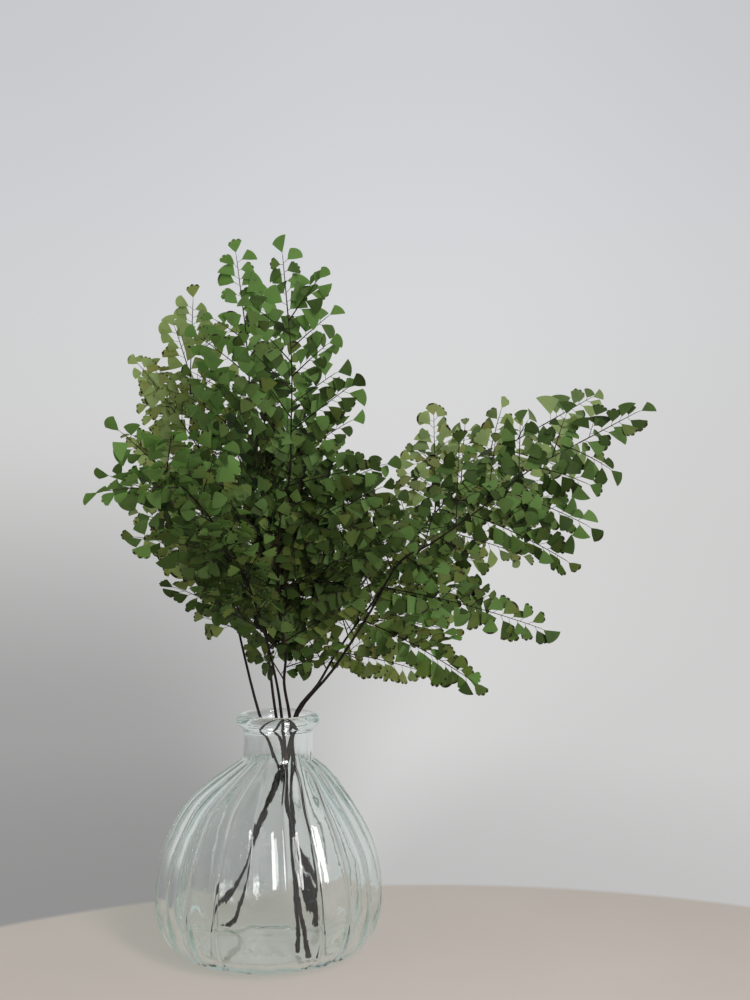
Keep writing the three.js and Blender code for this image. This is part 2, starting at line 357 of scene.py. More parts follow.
# The backdrop's painted light: its glow in the middle, then its changes, how much and between which two
# distances or heights each comes in. For the painted shade on the lower left and on both sides of a soft
# edge, these are cosines of the angle between a place and the left rear.
BASE_GLOW = 0.55
OUTWARDS = (0.12, 0.05, 0.7)
UPWARDS = (0.02, 0.1, 0.6)
NEAR_TOP = (-0.06, 0.6, 1.4)
# Painted shade on the lower left of the backdrop.
PAINTED_SHADE_LEFT = (0.45, 0.58, 0.87)
# Painted shade on both sides of a soft lighter edge.
SHADE_BESIDE_EDGE = (0.08, 0.02, 0.3)
PAINTED_SHADE_LEFT_ENDS = (-0.3, 0.4)  # the heights between which the painted shade on the lower left fades out
EDGE_COSINE = 0.66  # a soft edge, with a little less light on both sides
HORIZON_SLOPE = 0.15  # the painted shade's upper edge climbs towards the middle of the stage
HORIZON_REACH = 2.2
WARM_TINT = (1.0, 1.0, 0.995)
COOL_TINT = (0.97, 0.985, 1.015)


def painted_backdrop_light(board, place):
    """Pale grey painted light and shade: it falls off towards the floor and the lower left, and cools a
    little with height.
    """
    def change(value, row):
        amount, low, high = row
        return amount * board.ease(value, low, high)

    x, y, z = board.split(place)
    away = (x * x + y * y).to("SQRT")
    left_behind = (y - x) * math.sqrt(0.5) / away.to("MAXIMUM", 1 * MM)
    height = z - HORIZON_SLOPE * (HORIZON_REACH - away).to("MAXIMUM", 0)
    # Painted shade towards the lower left, and on both sides of a soft lighter edge.
    painted_shade_left = change(left_behind, PAINTED_SHADE_LEFT) * (1 - board.ease(height, *PAINTED_SHADE_LEFT_ENDS))
    shade_beside_edge = change((left_behind - EDGE_COSINE).to("ABSOLUTE"), SHADE_BESIDE_EDGE)
    brightness = BASE_GLOW + change(away, OUTWARDS) + change(z, UPWARDS) + change(z, NEAR_TOP)
    tint = board.blend(board.ease(z, 0.2, 1.0), WARM_TINT, COOL_TINT)
    glow = brightness * (1 - painted_shade_left) * (1 - shade_beside_edge)
    return board.add("ShaderNodeVectorMath", {"operation": "SCALE"}, {0: tint, "Scale": glow})


def backdrop_material():
    material, board = new_material("backdrop painted light")
    # The backdrop shows only this glow of painted light and shade.
    glow = board.add("ShaderNodeEmission", {}, {"Color": painted_backdrop_light(board, object_place(board))})
    board.add("ShaderNodeOutputMaterial", {}, {"Surface": glow})
    material.cycles.emission_sampling = "NONE"
    return material


def floor_material():
    """Warm and matt round the object, with painted shade towards the right, and one with the backdrop's
    painted light beyond.
    """
    material, board = new_material("floor")
    place = object_place(board)
    x, y, _ = board.split(place)
    off_x = x - WARM_CENTRE[0]
    off_y = y - WARM_CENTRE[1]
    distance = (off_x * off_x + off_y * off_y).to("SQRT")
    beyond = board.ease(distance, WARM_RADIUS - EDGE_SOFTNESS, WARM_RADIUS + EDGE_SOFTNESS)
    fibres = board.noise(place, scale=900, detail=4)
    cloud = board.noise(place, scale=9, detail=3)
    # light and shade are the pale and the dark colour of the cloth's patchy tone.
    light, shade = (0.67, 0.605, 0.55), (0.57, 0.51, 0.46)
    # Painted shade: the cloth turns darker towards the right.
    painted_shade_to_right = board.ease(x, 60 * MM, 400 * MM)
    colour = board.blend(0.55 * cloud + 0.45 * fibres - 0.9 * painted_shade_to_right, shade, light)
    bump = board.add("ShaderNodeBump", {}, {"Height": fibres, "Strength": 0.25, "Distance": 0.2 * MM})
    matt = board.add("ShaderNodeBsdfPrincipled", {}, {
        "Base Color": colour, "Roughness": 0.9, "Specular IOR Level": 0.2, "Normal": bump,
    })
    # Beyond the warm disc the floor glows with the backdrop's painted light and shade.
    glow = board.add("ShaderNodeEmission", {}, {"Color": painted_backdrop_light(board, place)})
    surface = board.add("ShaderNodeMixShader", {}, {0: beyond, 1: matt, 2: glow})
    board.add("ShaderNodeOutputMaterial", {}, {"Surface": surface})
    material.cycles.emission_sampling = "NONE"
    return material


def make_stage():
    disc = bmesh.new()
    bmesh.ops.create_circle(disc, cap_ends=True, segments=128, radius=FLOOR_RADIUS)
    floor = bpy.data.objects.new("floor", bpy.data.meshes.new("floor"))
    disc.to_mesh(floor.data)
    disc.free()
    floor.data.materials.append(floor_material())
    bpy.context.scene.collection.objects.link(floor)

    wall_radius = FLOOR_RADIUS + BOWL_RISE
    profile = arc((FLOOR_RADIUS, BOWL_RISE), BOWL_RISE, -90, 0, 24) + [(wall_radius, BOWL_HEIGHT)]
    backdrop = grow("backdrop", profile_mesh("backdrop", profile, [0] * len(profile)), spin_tree, {
        **NO_LOBES, "Sides": 128, "Material": backdrop_material(),
    })
    backdrop.visible_diffuse = False
    backdrop.visible_shadow = False


make_stage()

# %% [markdown]
# ## Light
# The light is soft and comes from all round, with one tall window to the front and right of the vase. On
# the ribbed glass that window shows as a streak in each lobe, so its height and width set the streaks'.

# %% World and window light
WINDOW = {"azimuth": 30, "elevation": 26, "distance": 1.25, "width": 0.28, "height": 0.85, "watts": 12}
WINDOW_AIM = Vector((0, 0, 60 * MM))  # the middle of the vase


def make_light():
    world = bpy.data.worlds.new("soft light")
    world.use_nodes = True
    world.node_tree.nodes.clear()
    board = Board(world.node_tree)
    sky = board.add("ShaderNodeBackground", {}, {"Color": (0.96, 0.985, 1.0), "Strength": 0.5})
    board.add("ShaderNodeOutputWorld", {}, {"Surface": sky})
    bpy.context.scene.world = world

    data = bpy.data.lights.new("window", "AREA")
    data.shape = "RECTANGLE"
    data.size = WINDOW["width"]
    data.size_y = WINDOW["height"]
    data.energy = WINDOW["watts"]
    data.color = (1.0, 0.99, 0.97)
    window = bpy.data.objects.new("window", data)
    side, up = math.radians(WINDOW["azimuth"]), math.radians(WINDOW["elevation"])
    away = Vector((math.sin(side) * math.cos(up), -math.cos(side) * math.cos(up), math.sin(up)))
    window.location = away * WINDOW["distance"] + WINDOW_AIM
    window.rotation_euler = away.to_track_quat("Z", "Y").to_euler()
    bpy.context.scene.collection.objects.link(window)


make_light()
bpy.context.scene.view_settings.view_transform = "Standard"

# %% [markdown]
# ## The vase
# The real vase was blown into a ribbed mould, so its outside has rounded lobes that meet in sharp creases,
# while the inside is nearly smooth. A lens like that needs real walls: one closed shell with an outer and an
# inner side. The spinning tree above makes it from one profile, and the lobes come from a sine.

# %% The vase's shape
VASE_HEIGHT = 120 * MM
SHOULDER = 98 * MM
LIP_RADIUS = 20.7 * MM
LIP_DEPTH = 6.5 * MM
NECK_RADIUS = 17.3 * MM
NECK_BORE = 15 * MM
MOUTH_ROUNDING = 1.6 * MM
FOOT_HOLLOW = [(0, 0), (15, 0.6), (25, 0.6)]  # radius and height in millimetres, here and below
INNER_FLOOR = [(15, 4.4), (0, 4.8)]
GLOBE_OUTSIDE = [(29, 0), (45, 4.6), (54, 14.5), (56.8, 29), (53.8, 51), (43.5, 73), (29.5, 89), (17.3, 98)]
GLOBE_INSIDE = [(30, 4.2), (45, 9.4), (51.3, 20), (53.3, 32), (50.2, 51.5), (40.2, 71.5), (27, 86.5),
                (15, 97)]
INSIDE_LOBES = 0.77  # their depth as a share of the outside's
PER_SPAN = 11
VASE_SIDES = 300


def vase_profile():
    """The outline of one half of the vase's wall, from the middle of its foot round the lip to the floor."""
    foot = [(radius * MM, height * MM) for radius, height in FOOT_HOLLOW]
    outside = [point * MM for point in spline(GLOBE_OUTSIDE, PER_SPAN, UNIFORM)]
    neck = [(NECK_RADIUS, height * MM) for height in (100, 104, 108, 111)]
    lip = arc((LIP_RADIUS - LIP_DEPTH / 2, VASE_HEIGHT - LIP_DEPTH / 2), LIP_DEPTH / 2, -80, 90, 14)
    outer = [*outside, *neck, *lip]
    mouth = arc((NECK_BORE + MOUTH_ROUNDING, VASE_HEIGHT - MOUTH_ROUNDING), MOUTH_ROUNDING, 100, 180, 5)
    bore = [(NECK_BORE, height * MM) for height in (114, 109, 104, 100)]
    inside = [point * MM for point in spline(GLOBE_INSIDE, PER_SPAN, UNIFORM)]
    floor = [(radius * MM, height * MM) for radius, height in INNER_FLOOR]
    inner = [*mouth, *bore, *reversed(inside), *floor]
    return [*foot, *outer, *inner], [0] * len(foot) + [1] * len(outer) + [INSIDE_LOBES] * len(inner)


# %% [markdown]
# ## Glass
# Clear glass is refraction, so its colour is nearly white, and the faint green comes from absorption inside
# the glass: it shows only where a ray runs along a wall or through the thick foot. A little bump stands for
# the wavy surface that a mould leaves.

# %% Glass material and the vase
STRAIGHT_AFTER = 3.5  # glossy bounces after which a ray goes straight through the glass


def glass_material():
    material, board = new_material("vase glass")
    place = object_place(board)
    ripple = board.noise(place, scale=70) + 0.15 * board.noise(place, scale=420)
    bump = board.add("ShaderNodeBump", {}, {"Height": ripple, "Strength": 0.35, "Distance": 0.5 * MM})
    smears = board.ease(board.noise(place, scale=45, detail=3), 0.5, 0.8)
    glass = board.add("ShaderNodeBsdfPrincipled", {}, {
        "Base Color": (0.985, 0.995, 0.99), "Roughness": 0.02 * smears, "IOR": 1.48,
        "Transmission Weight": 1.0, "Normal": bump,
    })
    lit_through = board.add("ShaderNodeBsdfTransparent", {}, {"Color": (0.86, 0.89, 0.875)})
    ray = board.add("ShaderNodeLightPath")
    straight = ray.output("Is Shadow Ray").to("MAXIMUM", ray.output("Glossy Depth") > STRAIGHT_AFTER)
    surface = board.add("ShaderNodeMixShader", {}, {0: straight, 1: glass, 2: lit_through})
    depth = board.add("ShaderNodeVolumeAbsorption", {}, {"Color": (0.60, 0.85, 0.77), "Density": 18.0})
    board.add("ShaderNodeOutputMaterial", {}, {"Surface": surface, "Volume": depth})
    return material


profile, ribbed = vase_profile()
vase = grow("vase_glass", profile_mesh("vase_glass", profile, ribbed), spin_tree, {
    "Sides": VASE_SIDES, "Lobes": 20.0, "Lobe depth": 2.2 * MM, "Crease angle": math.radians(-95),
    "Crease softness": 0.004, "Lobes from": 1 * MM, "Lobes to": SHOULDER, "Lean": 4.5 * MM,
    "Lean from": 74 * MM, "Lean to": SHOULDER, "Waviness": 0.5 * MM, "Wave size": 22 * MM,
    "Material": glass_material(),
})


def face_outwards(piece):
    """Turns all faces of a closed mesh outwards."""
    shape = bmesh.new()
    shape.from_mesh(piece.data)
    bmesh.ops.recalc_face_normals(shape, faces=shape.faces)
    print(piece.name, "encloses", round(shape.calc_volume() / MM ** 3), "mm3")
    shape.to_mesh(piece.data)
    shape.free()


face_outwards(vase)
vase.visible_diffuse = False
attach(vase, "root")
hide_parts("vase")

# %% [markdown]
# ## How a maidenhair frond branches
# A frond divides two or three times: black side ribs leave the stalk left and right, the longer ones carry
# short side ribs, and each of these ends in fan-shaped leaflets on hair-thin stalks, placed in turn to the
# left and the right. The stalks follow those of the imported solids, while the ribs are closer together and
# their lengths come from the photograph. The rule below walks along every rib and notes two things only: the
# lines of the stalks and the seats of the leaflets.

# %% The fronds' driving sizes
# Lengths are in millimetres and angles in degrees. The pair after seed is added to the leaflets' tone at the
# bottom and at the top of the frond, and more is lighter: partly painted shade low in the bunch and painted
# light at the top, and partly the paler colour of older low leaflets. bend is the range of how far leaflets
# lean back, or forwards below zero. leafy is the share of the stalk where the lowest rib leaves it. open has
# the ribs' angles at the bottom and at the top, for the left and then the right. turn is how far the frond is
# turned about its stalk, droop how far its ribs bend down, and tip the length of the last one. stalk has the
# points of its middle line from the foot up, and left and right have the ribs' lengths from the lowest up.
FRONDS = {
    "frond_centre": {
        "seed": 11, "painted_light_and_age": (-0.95, 0.25), "bend": (0.3, 0.75), "leafy": 0.42, "open": ((38, 44), (62, 46)),
        "turn": -12, "droop": 0.04, "tip": 29,
        "stalk": [(17, -15, 4.9), (12.4, -5.5, 96), (10.5, -5, 120), (8, -7, 136), (9, -10, 150),
                  (6, -15, 178), (8, -25, 224), (12, -28, 237), (13, -32, 261), (13.5, -36, 292),
                  (11.5, -37, 318)],
        "left": [60, 66, 62, 61, 60, 58, 55, 51, 46, 40, 34, 30, 26, 22],
        "right": [20, 50, 72, 76, 66, 62, 55, 46, 34, 41, 26, 25, 25, 26],
    },
    "frond_upper_left": {
        "seed": 23, "painted_light_and_age": (-0.2, 1.0), "bend": (-0.2, 0.3), "leafy": 0.5, "open": ((50, 44), (56, 44)),
        "turn": 6, "droop": 0.1, "tip": 32,
        "stalk": [(23, 18, 5), (7, 9, 96), (2.5, 8.5, 120), (-2, 14, 154), (-5, 20, 182), (-10, 31, 247),
                  (-15, 36, 315), (-16.5, 36, 328)],
        "left": [24, 40, 50, 48, 46, 43, 40, 34, 22],
        "right": [40, 44, 44, 40, 38, 34, 30, 26, 20],
    },
    "frond_back_left": {
        "seed": 37, "painted_light_and_age": (0.1, 1.8), "bend": (-0.2, 0.3), "leafy": 0.49, "open": ((45, 16), (56, 46)),
        "turn": 20, "droop": 0.1, "tip": 26,
        "stalk": [(31, -3, 5.3), (3, 3, 96), (-5.5, 4, 120), (-15, 14, 153), (-33, 46, 219), (-48, 68, 281),
                  (-48.5, 74, 316)],
        "left": [20, 50, 58, 60, 60, 59, 46, 30],
        "right": [36, 38, 38, 36, 34, 32, 30, 25],
    },
    "frond_front_left": {
        "seed": 44, "painted_light_and_age": (-0.85, 0.35), "bend": (-0.4, 0.1), "leafy": 0.52, "open": ((40, 36), (34, 56)),
        "turn": -18, "droop": 0.1, "tip": 20,
        "stalk": [(20.5, -20, 5), (9.3, -10, 96), (7, -10.5, 120), (5, -14, 136), (-1, -28, 166),
                  (-11, -48, 198), (-28, -64, 226), (-48, -75, 246)],
        "left": [12, 50, 52, 50, 54, 36],
        "right": [10, 18, 20, 26, 34, 26],
    },
    "frond_right_long": {
        "seed": 53, "painted_light_and_age": (0.1, -0.65), "bend": (0.1, 0.5), "leafy": 0.47, "open": ((60, 46), (78, 46)),
        "turn": -22, "droop": 0.1, "tip": 32,
        "stalk": [(-32, 2, 5.5), (9.5, -1, 96), (14.5, -1.5, 120), (32, -4, 142), (51, -10, 172),
                  (66, -14, 197), (80, -16, 205), (105, -20, 223), (128, -22, 241), (156, -22, 256.5)],
        "left": [20, 32, 42, 46, 44, 42, 36, 28, 26],
        "right": [10, 71, 78, 20, 18, 54, 42, 28, 20],
    },
    "frond_right_back": {
        "seed": 67, "painted_light_and_age": (0.5, -0.05), "bend": (-0.1, 0.4), "leafy": 0.44, "open": ((56, 30), (62, 52)),
        "turn": -12, "droop": 0.1, "tip": 32,
        "stalk": [(-24, 18, 5.3), (8, 6.5, 96), (13.5, 6, 120), (24, 10, 133), (33, 16, 148), (56, 32, 179),
                  (82, 48, 216), (121, 62, 253), (149, 68, 270)],
        "left": [34, 44, 50, 48, 34, 57, 47, 31, 17],
        "right": [46, 46, 42, 36, 58, 50, 36, 34, 30],
    },
}
STALK_RADIUS = (0.95 * MM, 0.22 * MM)  # at the root and at the tip
RIB_RADIUS = {1: (0.34 * MM, 0.14 * MM), 2: (0.18 * MM, 0.11 * MM)}  # of main and side ribs
HAIR_RADIUS = (0.10 * MM, 0.09 * MM)
STALK_STEPS = 12  # points of the stalk's path for each span
SWEPT = 3  # the swept stalk takes one of so many
TIP_PLACE = 0.985  # the share of the stalk where the last rib starts
LEAF_LENGTH = (9.2, 9.6)  # millimetres, at the bottom and at the top of a frond
LEAF_SIZES = (0.76, 1.1)  # the smallest and the largest along a rib, as shares of that
END_LEAF_SIZES = (0.62, 0.8)  # the same for the one at its end
LAST_LEAF = 0.25  # the least distance from a side leaflet to the end of its rib, in leaflets
NEAR_END = 1.6  # the distance below which a leaflet is near the end, in leaflets
SMALLER = 0.82  # the size of leaflets near the end
LEAF_PITCH = 0.5  # from one leaflet to the next on the same side, in leaflets
PITCH_SPREAD = (0.75, 1.2)
LEAF_ANGLE = 52  # between rib and leaflet, in degrees as all angles here
ANGLE_SPREAD = 15
LEAF_SAG = 0.25  # the most that a leaflet hangs down
HAIR_LENGTHS = (0.14, 0.42)  # as shares of the leaflet
INTO_LEAF = 0.06  # how far a hair reaches into its leaflet
FIRST_LEAF = {1: 3.2 * MM, 2: 2.2 * MM}  # bare length at the root of main and side ribs
SIDE_RIB_PITCH = 7.4 * MM
SIDE_PITCH_SPREAD = (0.9, 1.1)
SIDE_RIB_SHARE = 0.4  # its length as a share of what is left of its rib
SIDE_RIB_SPREAD = (0.85, 1.15)
SHORTEST_SIDE_RIB = 1.1  # in leaflets
SIDE_RIBS_END = 0.68  # the share of a rib beyond which it carries leaflets only
SIDE_RIB_TWIST = 30
SIDE_RIB_DROOP = 0.25
SHADE_LOSS = 0.6  # how much shorter a side rib stays that points straight down
LOW_RIBS = 0.2  # the share of the leafy length below which ribs count as low
LEAST_RISE = (0.4, -0.7)  # side ribs of low and of other ribs have to point up by more than this
TILT = (8, 22)  # by which ribs leave the plane of their frond, in turn to the front and the back
TWIST = 20  # by which a rib may be turned on its own line


# %% Ribs
class Rib:
    """A side rib that leaves its root straight and bends down towards its tip."""

    def __init__(self, root, way, face, reach, droop, twist):
        self.root = root
        self.way = way.normalized()
        self.face = face
        self.reach = reach
        self.droop = droop
        self.twist = twist

    def point(self, along):
        return self.root + self.way * along + DOWN * (self.droop * along * abs(along) / self.reach)

    def frame(self, along):
        """The rib's direction, the direction to its left, and the direction that its leaflets face."""
        ahead = (self.way + DOWN * (2 * self.droop * along / self.reach)).normalized()
        left = self.face.cross(ahead).normalized()
        left.rotate(Quaternion(ahead, self.twist))
        return ahead, left, ahead.cross(left)


Seat = namedtuple("Seat", "place way face size height")


class Growth:
    """What one frond is made of: lines with a radius and an order of branching, and seats for leaflets.

    The order is 0 for the stalk, 1 for its ribs, 2 for their side ribs and 3 for the leaflets' hairs.
    """

    def __init__(self, bend):
        self.bend = bend
        self.lines = []
        self.radii = []
        self.orders = []
        self.seats = []

    def add_line(self, points, radii, order):
        self.lines.append(points)
        self.radii += [radii[0] + (radii[1] - radii[0]) * i / (len(points) - 1) for i in range(len(points))]
        self.orders += [order] * len(points)

    def add_leaf(self, root, way, face, size, height, rng):
        """A leaflet on a short hair that starts at root."""
        hair = size * rng.uniform(*HAIR_LENGTHS)
        way = (way + DOWN * rng.uniform(0, LEAF_SAG)).normalized()
        place = root + way * hair
        inside_leaf = place + way * (INTO_LEAF * size)
        self.add_line([root, root + way * (hair * 0.5), inside_leaf], HAIR_RADIUS, 3)
        self.seats.append(Seat(place, way, face, size, height))


def mix(pair, share):
    """From the first to the second value of a pair."""
    return pair[0] + (pair[1] - pair[0]) * share


def dress_rib(growth, rib, leaf, height, order, rng):
    """Puts side ribs and leaflets on a rib, in turn to its left and right, and one leaflet at its end."""
    steps = max(4, round(rib.reach / (5 * MM)))
    growth.add_line([rib.point(rib.reach * i / steps) for i in range(steps + 1)], RIB_RADIUS[order], order)
    least_rise = LEAST_RISE[0] if height < LOW_RIBS else LEAST_RISE[1]
    for side in (-1, 1):
        along = FIRST_LEAF[order] + (LEAF_PITCH * leaf / 2 if side > 0 else 0)
        while along < rib.reach - LAST_LEAF * leaf:
            rest = rib.reach - along
            ahead, left, face = rib.frame(along)
            angle = math.radians(LEAF_ANGLE + rng.uniform(-ANGLE_SPREAD, ANGLE_SPREAD))
            way = ahead * math.cos(angle) + left * (side * math.sin(angle)) - face * rng.uniform(*growth.bend)
            reach = SIDE_RIB_SHARE * rest * rng.uniform(*SIDE_RIB_SPREAD) * (1 + SHADE_LOSS * min(0, way.z))
            roomy = reach > SHORTEST_SIDE_RIB * leaf and along < SIDE_RIBS_END * rib.reach
            if order == 1 and roomy and way.z > least_rise:
                twist = math.radians(rng.uniform(-SIDE_RIB_TWIST, SIDE_RIB_TWIST))
                side_rib = Rib(rib.point(along), way, face, reach, rng.uniform(0, SIDE_RIB_DROOP), twist)
                dress_rib(growth, side_rib, leaf, height, 2, rng)
                along += SIDE_RIB_PITCH * rng.uniform(*SIDE_PITCH_SPREAD)
            else:
                size = leaf * rng.uniform(*LEAF_SIZES) * (SMALLER if rest < NEAR_END * leaf else 1)
                growth.add_leaf(rib.point(along), way, face, size, height, rng)
                along += LEAF_PITCH * leaf * rng.uniform(*PITCH_SPREAD)
    ahead, _, face = rib.frame(rib.reach)
    growth.add_leaf(rib.point(rib.reach), ahead, face, leaf * rng.uniform(*END_LEAF_SIZES), height, rng)


def grow_frond(frond):
    """Ribs up the left and then the right side of the stalk, and one at its tip."""
    rng = random.Random(frond["seed"])
    path = Path([point * MM for point in spline(frond["stalk"], STALK_STEPS, CENTRIPETAL)])
    growth = Growth(frond["bend"])
    growth.add_line([Vector(point) for point in path.points[::SWEPT]], STALK_RADIUS, 0)

    def add_rib(place, side, open_angle, tilt, reach, droop, leaf, height):
        tangent = path.tangent(place)
        face = (TO_VIEWER - tangent * TO_VIEWER.dot(tangent)).normalized()
        face.rotate(Quaternion(tangent, math.radians(frond["turn"])))
        sideways = tangent.cross(face) * side
        way = tangent * math.cos(open_angle) + sideways * math.sin(open_angle) + face * math.sin(tilt)
        twist = math.radians(TWIST) * rng.uniform(-1, 1) * abs(side)
        dress_rib(growth, Rib(path.at(place), way, face, reach, droop, twist), leaf, height, 1, rng)

    left_open, right_open = frond["open"]
    for hand, side, shift, opening in (("left", -1, 0, left_open), ("right", 1, 0.5, right_open)):
        for i, reach in enumerate(frond[hand]):
            share = (i + shift) / len(frond[hand])
            tilt = math.radians(rng.uniform(*TILT)) * (1 if i % 2 else -1)
            add_rib(mix((frond["leafy"], 1), share), side, math.radians(mix(opening, share)), tilt,
                    reach * MM, frond["droop"], mix(LEAF_LENGTH, share) * MM, share)
    add_rib(TIP_PLACE, 0, 0, 0, frond["tip"] * MM, 0, LEAF_LENGTH[1] * MM, 1)
    return growth


# %% [markdown]
# ## Stalks
# The stalks are stiff black wires with a soft shine. The tree turns the noted lines into curves, gives each
# point its radius, and sweeps a circle along them. Thick stalks get more sides than the hairs.

# %% Stalk tree and material
def make_stalk_tree():
    board, given = new_tree("sweep stalks", {
        "Stalk sides": "Int", "Rib sides": "Int", "Hair sides": "Int", "Material": "Material",
    })
    order = board.add("GeometryNodeInputNamedAttribute", {"data_type": "INT"}, {"Name": "order"})
    radius = board.add("GeometryNodeInputNamedAttribute", {}, {"Name": "radius_here"})
    curves = board.add("GeometryNodeMeshToCurve", {}, {"Mesh": given["Geometry"]})
    joined = board.add("GeometryNodeJoinGeometry")
    for sides, below, above in (("Stalk sides", -1, 1), ("Rib sides", 0, 3), ("Hair sides", 2, 4)):
        chosen = (order > below) * (order < above)
        some = board.add("GeometryNodeSeparateGeometry", {"domain": "CURVE"}, {
            "Geometry": curves, "Selection": chosen,
        })
        circle = board.add("GeometryNodeCurvePrimitiveCircle", {}, {
            "Resolution": given[sides], "Radius": 1.0,
        })
        tube = board.add("GeometryNodeCurveToMesh", {}, {
            "Curve": some, "Profile Curve": circle, "Scale": radius, "Fill Caps": True,
        })
        board.tree.links.new(tube.socket, joined.socket.node.inputs[0])
    smooth = board.add("GeometryNodeSetShadeSmooth", {}, {"Geometry": joined})
    real = board.add("GeometryNodeRealizeInstances", {}, {"Geometry": smooth})
    finished = board.add("GeometryNodeSetMaterial", {}, {"Geometry": real, "Material": given["Material"]})
    board.add("NodeGroupOutput", {}, {"Geometry": finished})
    return board.tree


def stalk_material():
    material, board = new_material("stalk")
    place = object_place(board)
    patches = board.ease(board.noise(place, scale=120, detail=3), 0.4, 0.7)
    colour = board.blend(patches, (0.006, 0.004, 0.004), (0.020, 0.011, 0.008))
    grain = board.noise(place, scale=1500)
    bump = board.add("ShaderNodeBump", {}, {"Height": grain, "Strength": 0.3, "Distance": 0.05 * MM})
    wood = board.add("ShaderNodeBsdfPrincipled", {}, {
        "Base Color": colour, "Roughness": 0.3 + 0.2 * patches, "Specular IOR Level": 0.1, "Normal": bump,
    })
    board.add("ShaderNodeOutputMaterial", {}, {"Surface": wood})
    return material


# %% [markdown]
# ## Leaflets
# A leaflet is a thin fan. Young ones have an even rim, older ones have lobes, and each lobe's rim carries a
# dark brown spore patch, which on the real fern the rim folds over. A few dozen faces are enough for each
# shape, because there are hundreds of copies: one closed shell with an upper and a lower side, cupped a
# little. The UV map runs from side to side in u and from the leaflet's seat to its rim in v, so that veins
# and rim can be painted by formula.

# %% Leaflet shapes
LEAF_THICKNESS = 0.022  # as a share of the length
LEAF_SHAPES = [
    {"lobes": 1, "spread": 36, "skew": 0.12, "cup": 0.06, "bulge": 1.0, "corners": 0.04},
    {"lobes": 1, "spread": 31, "skew": -0.18, "cup": -0.05, "bulge": 1.06, "corners": 0.0},
    {"lobes": 1, "spread": 34, "skew": -0.05, "cup": 0.14, "bulge": 1.14, "corners": -0.12},
    {"lobes": 2, "spread": 32, "skew": 0.14, "cup": 0.10, "bulge": 1.16, "corners": -0.10},
    {"lobes": 3, "spread": 37, "skew": -0.12, "cup": 0.08, "bulge": 1.10, "corners": -0.08},
    {"lobes": 3, "spread": 29, "skew": 0.16, "cup": -0.09, "bulge": 1.20, "corners": -0.14},
    {"lobes": 4, "spread": 40, "skew": -0.10, "cup": 0.12, "bulge": 1.06, "corners": -0.06},
]
NOTCH = 0.14  # how deep the cuts between lobes are
ROUNDING = 0.05  # how much lower a lobe's corners are than its middle
CORNER_AT = 0.12  # from a lobe's side to its corner, as a share of its width


def rim_of(lobes):
    """Places across a leaflet's rim from -1 to 1, with the height of the rim there."""
    if lobes == 1:
        return [(-1 + i / 4, 1) for i in range(9)]
    rim = []
    for lobe in range(lobes):
        start, width = -1 + 2 * lobe / lobes, 2 / lobes
        rim += [(start + width * across, 1 - drop) for across, drop in
                ((CORNER_AT, ROUNDING), (0.5, 0), (1 - CORNER_AT, ROUNDING))]
        if lobe < lobes - 1:
            rim.append((start + width, 1 - NOTCH))
    rim[0] = (-1, rim[0][1])
    rim[-1] = (1, rim[-1][1])
    return rim


def leaf_mesh(name, lobes, spread, skew, cup, bulge, corners):
    """A closed fan of length 1 that points along X and faces Z."""
    rim = rim_of(lobes)
    rows = [(0.0, 0.0), (0.5, bulge), (1.0, 1.0)]  # distance from the seat, share of the full spread
    points, places = [], []
    for lift in (LEAF_THICKNESS / 2, -LEAF_THICKNESS / 2):
        for along, fan in rows:
            for across, height in rim if along else [(0, 1)]:
                angle = math.radians(spread) * across * fan
                length = along * height * (1 + skew * across + corners * across * across)
                side = length * math.sin(angle)
                points.append((length * math.cos(angle), side, lift - cup * side * side))
                places.append((0.5 + across / 2, along))
    count = len(rim)
    half = 1 + 2 * count
    faces = []
    for i in range(count - 1):
        middle, outer = 1 + i, 1 + count + i
        faces.append((0, middle, middle + 1))
        faces.append((middle, outer, outer + 1, middle + 1))
    faces += [tuple(half + corner for corner in reversed(face)) for face in faces]
    border = [0, 1, *range(1 + count, 1 + 2 * count), count]
    for here, there in zip(border, border[1:] + border[:1]):
        faces.append((there, here, half + here, half + there))
    mesh = bpy.data.meshes.new(name)
    mesh.from_pydata(points, [], faces)
    layer = mesh.uv_layers.new(name="leaf")
    for loop in mesh.loops:
        layer.data[loop.index].uv = places[loop.vertex_index]
    mesh.attributes.new("lobes", "FLOAT", "POINT").data.foreach_set("value", [float(lobes)] * len(points))
    return mesh


# %% Leaflet tree
def make_leaf_tree():
    """Puts a leaflet on every seat, turned to the seat's way and face, with a seeded wobble."""
    board, given = new_tree("seat leaflets", {
        "Shapes": "Collection", "Wobble": "Vector", "Seed": "Int", "Material": "Material",
    })

    def attribute(name, kind):
        return board.add("GeometryNodeInputNamedAttribute", {"data_type": kind}, {"Name": name})

    shapes = board.add("GeometryNodeCollectionInfo", {}, {
        "Collection": given["Shapes"], "Separate Children": True, "Reset Children": True,
    })
    flipped = board.add("ShaderNodeVectorMath", {"operation": "SCALE"}, {0: given["Wobble"], "Scale": -1.0})
    wobble = board.add("FunctionNodeRandomValue", {"data_type": "FLOAT_VECTOR"}, {
        0: flipped, 1: given["Wobble"], "Seed": given["Seed"],
    })
    turned = board.add("FunctionNodeAxesToRotation", {"primary_axis": "X", "secondary_axis": "Z"}, {
        "Primary Axis": attribute("way", "FLOAT_VECTOR"), "Secondary Axis": attribute("face", "FLOAT_VECTOR"),
    })
    shaken = board.add("FunctionNodeRotateRotation", {"rotation_space": "LOCAL"}, {
        "Rotation": turned, "Rotate By": board.add("FunctionNodeEulerToRotation", {}, {"Euler": wobble}),
    })
    leaves = board.add("GeometryNodeInstanceOnPoints", {}, {
        "Points": given["Geometry"], "Instance": shapes, "Pick Instance": True,
        "Instance Index": attribute("shape", "INT"), "Rotation": shaken, "Scale": attribute("size", "FLOAT"),
    })
    real = board.add("GeometryNodeRealizeInstances", {}, {"Geometry": leaves})
    finished = board.add("GeometryNodeSetMaterial", {}, {"Geometry": real, "Material": given["Material"]})
    board.add("NodeGroupOutput", {}, {"Geometry": finished})
    return board.tree
